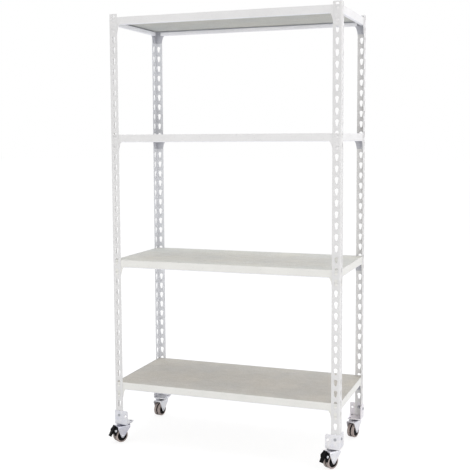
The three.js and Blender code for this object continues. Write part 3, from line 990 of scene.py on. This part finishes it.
def board_mesh(width, depth, thickness):
    outline = rounded(rectangle(-width / 2, -depth / 2, width / 2, depth / 2), BOARD_ROUND)
    return plate(outline, (), thickness, SOFT_EASE)


def mark_inside(web, place):
    """Marks the faces of a beam that look into the unit, which the paint darkens as painted shade."""
    inward = place.to_3x3() @ Y_AXIS
    layer = web.data.attributes.new(INSIDE, "FLOAT", "FACE")
    for face in web.data.polygons:
        layer.data[face.index].value = float(face.normal.dot(inward) > FACING)


def add_beam(number, side, meshes, place):
    node = f"shelf_{number}_beam_{side}"
    # Lower beams take a lighter, warmer tone: painted light.
    paint = PAINT["low_beam" if number >= FIRST_LOW_SHELF else "beam"]
    web = make(f"{node}_pressed", meshes["web"], place, paint, "frame", (node,))
    mark_inside(web, place)
    # The lip's lighter tone is painted light; the ledge's darker tone, darker still on the left, is painted
    # shade in the gap under the board.
    make(f"{node}_lip", meshes["lip"], place, PAINT["lip"], "frame")
    paint = PAINT.get(f"{side}_ledge", PAINT["ledge"])
    make(f"{node}_ledge", meshes["ledge"], place, paint, "frame")


def add_board(number):
    node = f"shelf_{number}_board"
    a, b = low(node), high(node)
    mesh = board_mesh(b.x - a.x, b.y - a.y, b.z - a.z)
    place = Matrix.Translation((a + b) / 2)
    # The board's tone is painted light and shade.
    make(f"{node}_faced", mesh, place, BOARDS[number], "frame", (node,))


def add_shelves():
    long_beam, short_beam = beam_meshes(WIDTH), beam_meshes(DEPTH)
    middle = (low("post_front_left") + high("post_rear_right")) / 2
    sides = (
        ("front", long_beam, 0, DEPTH),
        ("right", short_beam, 90, WIDTH),
        ("back", long_beam, 180, DEPTH),
        ("left", short_beam, 270, WIDTH),
    )
    for number in range(1, SHELF_COUNT + 1):
        for side, meshes, angle, across in sides:
            top = high(f"shelf_{number}_beam_{side}").z
            outward = shift(0, POST_SHEET + GAP - across / 2, 0)
            add_beam(number, side, meshes, shift(middle.x, middle.y, top) @ turn(angle, "Z") @ outward)
        add_board(number)


# Corner brackets

def bracket_mesh():
    """Two upright flanges folded from one strip, and the base that the caster is bolted to."""
    out = GAP + BRACKET_SHEET
    far = BRACKET_REACH + out
    edge = unfolded(far, BRACKET_SHEET, BRACKET_BEND)
    bolt = unfolded(out + POST_FLANGE / 2, BRACKET_SHEET, BRACKET_BEND)
    spare = unfolded(out + SPARE_HOLE_ACROSS, BRACKET_SHEET, BRACKET_BEND)
    radii = (0, 0, BRACKET_ROUND, BRACKET_ROUND)
    outline = rounded(rectangle(-edge, 0, edge, BRACKET_HEIGHT), radii, ROUND_STEPS)
    holes = []
    for s in (-1, 1):
        holes += [circle(s * bolt, BOLT_HEIGHT, BOLT_HOLE), circle(s * spare, SPARE_HOLE_UP, SPARE_HOLE)]
    angle = folded_angle(plate(outline, holes, BRACKET_SHEET, SHEET_EASE), BRACKET_SHEET, BRACKET_BEND)
    inside = BRACKET_SHEET / 2
    radii = (BASE_ROUND, BASE_ROUND, BRACKET_ROUND, BASE_ROUND)
    base = rounded(rectangle(inside, inside, far, far), radii, ROUND_STEPS)
    base = plate(base, plate_bolt_holes(far / 2), BRACKET_SHEET, SHEET_EASE)
    return moved(joined(angle, moved(base, shift(0, 0, inside))), shift(-out, -out, 0))


def plate_bolt_places():
    """The four caster bolts, from the middle of the caster's plate."""
    d = PLATE_SIZE / 2 - PLATE_BOLT_INSET
    return rectangle(-d, -d, d, d)


def plate_bolt_holes(centre):
    radius = BOLT_RADIUS + PLAY
    return [circle(centre + x, centre + y, radius, BOLT_HOLE_SIDES) for x, y in plate_bolt_places()]


def hex_head():
    """A flanged hexagon head with a shallow dish in its top, from z = 0 up along +Z."""
    rim, shoulder, lift, sink = 0.5, 0.9, 0.6, 0.65
    wide, narrow, dish = HEX_RADIUS * 1.12, HEX_RADIUS * 0.95, HEX_RADIUS * 0.6
    height = HEX_HEIGHT
    flange = lathe([(0, 0), (wide, 0), (wide, rim), (narrow, shoulder), (0, shoulder)], BOLT_SIDES)
    body = plate(hexagon(HEX_RADIUS), [circle(0, 0, dish)], height - lift, THIN_EASE)
    body = moved(body, shift(0, 0, lift + (height - lift) / 2))
    wall = dish + 0.1
    bowl = [(wall, height - 0.4), (dish / 2, height - 0.6), (0, height - sink)]
    return joined(flange, body, lathe([(0, rim), (wall, rim)] + bowl, BOLT_SIDES))


def bolt_mesh():
    """A bracket bolt along +Y: head outside, shank, and a nut with its washer on the inside of the post."""
    face = GAP + BRACKET_SHEET
    head = moved(hex_head(), shift(0, -face, 0) @ turn(90, "X"))
    shank = lathe([(0, 0), (BOLT_RADIUS, 0), (BOLT_RADIUS, BOLT_LENGTH - BOLT_TIP),
                   (BOLT_RADIUS - BOLT_TIP, BOLT_LENGTH), (0, BOLT_LENGTH)], RIVET_SIDES)
    shank = moved(shank, shift(0, -face, 0) @ turn(-90, "X"))
    washer = lathe([(0, 0), (WASHER_RADIUS, 0), (WASHER_RADIUS, WASHER_SHEET), (0, WASHER_SHEET)], BOLT_SIDES)
    nut = plate(hexagon(HEX_RADIUS), (), NUT_HEIGHT, SHEET_EASE)
    nut = moved(nut, shift(0, 0, WASHER_SHEET + NUT_HEIGHT / 2))
    inner = moved(joined(washer, nut), shift(0, POST_SHEET + HEAD_AIR, 0) @ turn(-90, "X"))
    return joined(head, shank, inner)


def add_brackets():
    bracket, bolt = bracket_mesh(), bolt_mesh()
    middle = POST_FLANGE / 2
    spots = (("a", shift(middle, 0, BOLT_HEIGHT)), ("b", shift(0, middle, BOLT_HEIGHT) @ turn(-90, "Z")))
    for name in CORNERS:
        node = f"bracket_{name}"
        place = corner_place(name) @ shift(0, 0, low(node).z)
        # The bracket's zinc tone is lighter or darker for the light at its corner: painted light and shade.
        make(f"{node}_zinc", bracket, place, ZINC[BRACKET_ZINC[name]], "frame", (node,))
        for letter, spot in spots:
            old = f"{node}_bolt_{letter}"
            make(f"{old}_hex", bolt, place @ spot, BOLT, "frame", (old,))


# Casters

def top_plate_mesh():
    """The caster's top plate with its pressed ball cup and the kingpin, down from z = 0."""
    half = PLATE_SIZE / 2
    outline = rounded(rectangle(-half, -half, half, half), PLATE_ROUND, FINE_STEPS)
    flat = moved(plate(outline, plate_bolt_holes(0), PLATE_SHEET, SHEET_EASE), shift(0, 0, -PLATE_SHEET / 2))
    top, head = -PLATE_SHEET, CROWN_UNDER - GAP
    r = CUP_RADIUS
    cup = lathe([(0, top + 0.2), (r - 0.6, top + 0.2), (r, top - 0.6), (r, top - 1.4), (r - 1, top - 1.7),
                 (0, top - 1.7)], CUP_SIDES)
    r, wide = KINGPIN_RADIUS, KINGPIN_HEAD
    pin = lathe([(0, head - 2), (wide - 1, head - 2), (wide, head - 1.3), (wide, head), (r, head), (r, top),
                 (0, top)], PIN_SIDES)
    return joined(flat, cup, pin)


def race_mesh():
    """The ring of the ball race, waisted between the cup and the fork's crown."""
    top, bottom = -PLATE_SHEET - RACE_DOWN, CROWN_TOP + RACE_AIR
    outer, inner = CUP_RADIUS - 1, KINGPIN_RADIUS + 1
    return lathe([(inner, top), (outer, top), (outer + 0.5, top - 0.6), (outer - 1, (top + bottom) / 2),
                  (outer + 0.5, bottom + 0.6), (outer, bottom), (inner, bottom), (inner, top)], CUP_SIDES)


def plate_bolts_mesh():
    """Round heads on the bracket's base, with nuts and bolt ends under the caster's plate."""
    base = BRACKET_SHEET + GAP
    cap = dome(ROUND_HEAD, ROUND_HEAD_DOME, base + ROUND_HEAD_RIM)
    head = lathe([(0, base), (ROUND_HEAD, base)] + cap, RIVET_SIDES)
    end = -PLATE_SHEET - SMALL_BOLT_END
    shank = lathe([(0, end), (BOLT_RADIUS - SMALL_BOLT_TIP, end), (BOLT_RADIUS, end + SMALL_BOLT_TIP),
                   (BOLT_RADIUS, base), (0, base)], SHANK_SIDES)
    nut = plate(hexagon(SMALL_NUT_RADIUS), (), SMALL_NUT_HEIGHT, SMALL_NUT_EASE)
    one = joined(head, shank, moved(nut, shift(0, 0, -PLATE_SHEET - SMALL_NUT_DOWN)))
    places = enumerate(plate_bolt_places())
    return joined(*[moved(one, shift(x, y, 0) @ turn(NUT_TURN * i, "Z")) for i, (x, y) in places])


def fork_mesh(braked):
    """The fork: drawn flat, x across and y towards the wheel, and folded down along both sides."""
    flat = LEG_OUTSIDE - FORK_BEND
    bend = (FORK_BEND - FORK_SHEET / 2) * math.pi / 2

    def leg(out, up):
        """Where a point of the leg, seen from the side in the caster's frame, lies on the unfolded sheet."""
        return (flat + bend + (-up + CROWN_TOP - FORK_BEND), out)

    bend_end, shoulder = CROWN_TOP - FORK_BEND, CROWN_TOP - FORK_SHOULDER
    right = [(flat, FORK_TRAIL), leg(FORK_TRAIL, bend_end), leg(FORK_TRAIL, shoulder)]
    right += [leg(x, z) for x, z in arc(TRAIL, AXLE_DOWN, FORK_BOSS, BOSS_FROM, BOSS_TO, BOSS_STEPS)]
    right += [leg(-FORK_LEAD, shoulder), leg(-FORK_LEAD, bend_end), (flat, -FORK_LEAD)]
    reach = math.hypot(flat, FORK_LEAD)
    start = math.degrees(math.atan2(FORK_LEAD, flat))
    half = right + [(x, -y) for x, y in arc(0, 0, reach, start, 90, FINE_STEPS)][1:]
    outline = half + [(-x, y) for x, y in half[-2::-1]]
    holes = [circle(0, 0, KINGPIN_RADIUS + PLAY)]
    for s in (-1, 1):
        x, y = leg(TRAIL, AXLE_DOWN)
        holes.append(circle(s * x, y, AXLE_RADIUS + AXLE_PLAY))
        if braked:
            x, y = leg(*HOUSING_RIVET)
            holes.append(circle(s * x, y, RIVET_HOLE, BOLT_HOLE_SIDES))
    cuts = [s * (flat + bend * k / FORK_CUTS) for s in (-1, 1) for k in range(FORK_CUTS + 1)]
    bent = fold(cut_across(plate(outline, holes, FORK_SHEET, SHEET_EASE), cuts), flat, bend, -90)
    return moved(bent, shift(0, 0, CROWN_TOP - FORK_SHEET / 2) @ basis(X_AXIS, -Y_AXIS, Z_AXIS))


def turned(profile, sides):
    """A profile of (radius, height) turned about X."""
    return moved(lathe(profile, sides), turn(90, "Y"))


def axle_mesh():
    """The axle along X, with a domed head outside each leg of the fork."""
    face = LEG_OUTSIDE + HEAD_AIR
    cap = dome(AXLE_HEAD, AXLE_DOME, face + AXLE_RIM, FINE_STEPS)
    return turned(mirrored([(AXLE_RADIUS, face), (AXLE_HEAD, face)] + cap), PIN_SIDES)


def core_mesh():
    """Black wheel core: dished sides with a raised rim, a hub, and the band between the treads."""
    rim, hub = WHEEL_WIDTH / 2, HUB_WIDTH / 2
    bore, r = AXLE_RADIUS + AXLE_PLAY, WHEEL_RADIUS - TYRE_THICKNESS + TYRE_LAP
    groove = GROOVE_WIDTH / 2
    side = [(bore, hub), (HUB_RADIUS - 0.6, hub), (HUB_RADIUS, hub - 0.6), (HUB_RADIUS + 0.4, rim - 3),
            (HUB_RADIUS + 1.5, rim - 3.6), (r - 4.2, rim - 3), (r - 3.6, rim - 0.6), (r - 3, rim - 0.2),
            (r - 0.4, rim - 0.2), (r, rim - 0.5), (r, groove), (WHEEL_RADIUS - GROOVE_DEPTH, groove)]
    return turned(mirrored(side[::-1]) + [(bore, -hub)], CORE_SIDES)


def tread_mesh():
    """Two rounded treads, one at each side of the core's band, each flat where it stands on the floor."""
    inner = WHEEL_RADIUS - TYRE_THICKNESS + TYRE_LAP
    near, far = GROOVE_WIDTH / 2, WHEEL_WIDTH / 2
    corners = [(inner, near), (WHEEL_RADIUS, near), (WHEEL_RADIUS, far), (inner, far)]
    section = rounded(corners, TREAD_ROUNDS, ROUND_STEPS)
    ring = lathe(section + [section[0]], TREAD_SIDES)
    mirror = Matrix.Scale(-1, 4, Z_AXIS)
    return moved(joined(ring, moved(ring, mirror)), turn(90, "Y"))


def side_plate(outline, width, ease, holes=()):
    """A plate drawn as (out, up), standing along the wheel's way, centred across, width thick."""
    return moved(plate(outline, holes, width, ease), basis(-Y_AXIS, Z_AXIS, -X_AXIS))


def housing_mesh():
    """The brake's housing: a cheek at each side of the pedal and a bridge between them over the wheel."""
    half = LEG_INSIDE - GAP
    slot = PEDAL_WIDTH / 2 + GAP
    shroud = arc(TRAIL, AXLE_DOWN, WHEEL_RADIUS + RUNNING_GAP, HOUSING_FROM, HOUSING_TO, SHROUD_STEPS)
    under = CROWN_UNDER - GAP
    foot = shroud[-1]
    chin = [shroud[-2], (foot[0] + HOUSING_WALL, foot[1]), (PIVOT_OUT + HOUSING_EAR, PIVOT_DOWN)]
    cheek = [(FORK_TRAIL, under), (shroud[0][0], under)] + shroud
    cheek += rounded(chin, (0, CHEEK_ROUND, 0))[1:-1]
    cheek += arc(PIVOT_OUT, PIVOT_DOWN, HOUSING_EAR, 0, EAR_TO, FILLET_STEPS)
    hole = [circle(PIVOT_OUT, PIVOT_DOWN, PIN_HOLE, BOLT_HOLE_SIDES)]
    parts = []
    for s in (-1, 1):
        flank = side_plate(cheek, half - slot, SOFT_EASE, hole)
        parts.append(moved(flank, shift(s * (half + slot) / 2, 0, 0)))
    back, top = FORK_TRAIL - BRIDGE_BACK, under - BRIDGE_DOWN
    bridge = [(back, top), (shroud[0][0], top), shroud[0], (back, shroud[0][1])]
    parts.append(side_plate(bridge, 2 * half - BRIDGE_NARROWER, MOULDED_EASE))
    return joined(*parts)


def housing_rivet_mesh():
    """The rivet along X that holds the housing between the legs of the fork."""
    x, z = HOUSING_RIVET
    face = LEG_OUTSIDE + CAP_AIR
    head = [(PIN_RADIUS, face), (3.2, face), (3.2, face + 0.4), (PIN_RADIUS, face + 1), (0, face + 1.1)]
    return moved(lathe(mirrored(head), RIVET_SIDES), shift(0, -x, z) @ turn(90, "Y"))


def pedal_mesh():
    """The rocking pedal about its pin: hub, nose and a ribbed tread with raised edges."""
    slope = math.radians(PEDAL_SLOPE)
    under = PEDAL_HUB - PEDAL_SHEET / 3
    over = under + PEDAL_SHEET

    def bar(start, bottom, end, top):
        """A rectangle drawn along and above the tread, as (out, up)."""
        return [(math.cos(slope) * a + math.sin(slope) * h, -math.sin(slope) * a + math.cos(slope) * h)
                for a, h in rectangle(start, bottom, end, top)]

    hub = side_plate(circle(0, 0, PEDAL_HUB), PEDAL_WIDTH, MOULDED_EASE)
    rest = 180 + PIVOT_ANGLE + PEDAL_TRAVEL
    tip = arc(0, 0, PIVOT_CLEARANCE - NOSE_AIR, rest - NOSE_TIP_HALF, rest + NOSE_TIP_HALF, ROUND_STEPS)
    root = arc(0, 0, NOSE_ROOT, rest + NOSE_ROOT_HALF, rest + 360 - NOSE_ROOT_HALF, SHROUD_STEPS)
    nose = side_plate(tip + root, PEDAL_WIDTH, MOULDED_EASE)
    slab = rounded(bar(-PEDAL_ABOVE, under, PEDAL_BELOW, over - SLAB_DROP), 1)
    parts = [hub, nose, side_plate(slab, PEDAL_WIDTH, SLAB_EASE)]
    for s in (-1, 1):
        rail = bar(-PEDAL_ABOVE + RAIL_END, over - RAIL_DEPTH, PEDAL_BELOW - RAIL_END, over)
        rail = side_plate(rounded(rail, 0.5, BEND_STEPS), RAIL_WIDTH, SHEET_EASE)
        parts.append(moved(rail, shift(s * (PEDAL_WIDTH / 2 - RAIL_INSET), 0, 0)))
    middle = (PEDAL_BELOW - PEDAL_ABOVE) / 2
    length = PEDAL_BELOW + PEDAL_ABOVE
    for k in range(RIB_COUNT):
        at = middle + length * (k - (RIB_COUNT - 1) / 2) / (RIB_COUNT + 1)
        rib = rounded(bar(at - RIB_HALF, over - RAIL_DEPTH, at + RIB_HALF, over - RIB_DROP), 0.4, 2)
        parts.append(side_plate(rib, PEDAL_WIDTH - RIB_END, THIN_EASE))
    return joined(*parts)


def pedal_pin_mesh():
    """The pedal's pin, with a wide cap on each cheek of the housing."""
    face = LEG_INSIDE - GAP + CAP_AIR
    cap = [(PIN_CAP, face), (PIN_CAP, face + 0.5), (PIN_CAP - 1, face + 1.1), (PIN_RADIUS, face + 1.4)]
    return turned(mirrored([(PIN_RADIUS, face)] + cap + [(0, face + 1.5)]), BOLT_SIDES)


def add_brake(name, place):
    node, swivel, pedal = f"caster_{name}", f"swivel_{name}", f"pedal_{name}"
    pivot = place @ shift(0, -PIVOT_OUT, PIVOT_DOWN)
    make(f"{node}_housing", housing_mesh(), place, BLACK, swivel, (f"{node}_brake_housing",))
    make(f"{node}_housing_rivet", housing_rivet_mesh(), place, STEEL, swivel)
    make(f"{node}_pedal", pedal_mesh(), pivot, BLACK, pedal, (f"{node}_brake_pedal",))
    make(f"{node}_pedal_pin", pedal_pin_mesh(), pivot, STEEL, pedal)


def add_casters():
    top_plate, race, bolts = top_plate_mesh(), race_mesh(), plate_bolts_mesh()
    axle, core, tread = axle_mesh(), core_mesh(), tread_mesh()
    for name in CORNERS:
        node, swivel, wheel = f"caster_{name}", f"swivel_{name}", f"wheel_{name}"
        braked = name in BRAKED
        # The caster's zinc tone is lighter or darker for the light at its corner: painted light and shade.
        plated = ZINC[CASTER_ZINC[name]]
        place = swivel_place(name)
        centre = Matrix.Translation(place.translation)
        middle = place @ shift(0, -TRAIL, AXLE_DOWN)
        make(f"{node}_plate", top_plate, centre, plated, "frame", (f"{node}_top_plate",))
        make(f"{node}_ball_race", race, centre, RACE, "frame")
        make(f"{node}_plate_bolts", bolts, centre, BOLT, "frame")
        make(f"{node}_pressed_fork", fork_mesh(braked), place, plated, swivel, (f"{node}_fork",))
        make(f"{node}_axle_rivet", axle, middle, STEEL, swivel, (f"{node}_axle",))
        make(f"{node}_core", core, middle, BLACK, wheel, (f"{node}_wheel_core",))
        make(f"{node}_treads", tread, middle, TREAD, wheel, (f"{node}_tyre",))
        if braked:
            add_brake(name, place)


# Floor, light and camera

def add_floor():
    """A pale floor that glows a little where the camera sees it, which keeps the photograph's white."""
    material, shader, coords = nodes_of("floor")
    dark, light = FLOOR_TONES
    tone = ramp(noise(coords, scale=3, detail=2), (0.3, dark), (0.7, light))
    link(tone, shader.inputs["Base Color"])
    settle(shader, Roughness=0.9, Specular_IOR_Level=0.1)
    glow = new_node(coords, "Emission", Strength=FLOOR_GLOW)
    rays = new_node(coords, "LightPath")
    share = calculated("MULTIPLY", rays.outputs["Is Camera Ray"], FLOOR_SEEN)
    out = [n for n in material.node_tree.nodes if n.type == "OUTPUT_MATERIAL"][0]
    show_mixed(out, share, shader.outputs[0], glow.outputs[0])
    corners = rectangle(-FLOOR_REACH, -FLOOR_REACH, FLOOR_REACH, FLOOR_REACH)
    data = bpy.data.meshes.new("floor")
    data.from_pydata([(x, y, 0) for x, y in corners], [], [(0, 1, 2, 3)])
    data.materials.append(material)
    floor = added("floor", data)


def add_world():
    """Soft light from all round, under a sky that is white to the camera and in reflections."""
    world = bpy.data.worlds.new("studio")
    bpy.context.scene.world = world
    world.use_nodes = True
    tree = world.node_tree
    tree.nodes.clear()
    out = tree.nodes.new("ShaderNodeOutputWorld")
    fill = new_node(out.inputs[0], "Background", Color=(*WORLD_TINT, 1), Strength=WORLD_FILL)
    seen = new_node(out.inputs[0], "Background", Color=(*WORLD_SEEN, 1), Strength=1)
    rays = new_node(out.inputs[0], "LightPath")
    direct = rays.outputs["Is Camera Ray"]
    for other in ("Is Glossy Ray", "Is Transmission Ray"):
        direct = calculated("MAXIMUM", direct, rays.outputs[other])
    show_mixed(out, direct, fill.outputs[0], seen.outputs[0])


def add_lamps():
    for name, place, size, power, tint in LAMPS:
        data = bpy.data.lights.new(name, "AREA")
        data.size = size
        data.energy = power
        data.color = tint
        lamp = added(name, data)
        lamp.location = place
        lamp.rotation_euler = (LAMP_TARGET - Vector(place)).to_track_quat("-Z", "Y").to_euler()


def add_camera():
    yaw, pitch, roll = (math.radians(a) for a in (CAMERA_YAW, CAMERA_PITCH, CAMERA_ROLL))
    ahead = Vector((-math.sin(yaw) * math.cos(pitch), math.cos(yaw) * math.cos(pitch), -math.sin(pitch)))
    level = Vector((math.cos(yaw), math.sin(yaw), 0))
    up = level.cross(ahead)
    right = level * math.cos(roll) + up * math.sin(roll)
    top = up * math.cos(roll) - level * math.sin(roll)
    data = bpy.data.cameras.new("camera")
    data.sensor_width = SENSOR
    data.lens = FOCAL / FRAME_PIXELS * SENSOR
    data.shift_x = (FRAME_PIXELS / 2 - CENTRE[0]) / FRAME_PIXELS
    data.shift_y = (CENTRE[1] - FRAME_PIXELS / 2) / FRAME_PIXELS
    data.clip_end = VIEW_DEPTH
    camera = added("camera", data)
    camera.matrix_world = Matrix.Translation(CAMERA_PLACE) @ basis(right, top, -ahead)
    bpy.context.scene.camera = camera


add_camera()
add_posts()
add_shelves()
add_brackets()
add_casters()
add_floor()
add_world()
add_lamps()
bpy.context.scene.view_settings.view_transform = "Standard"
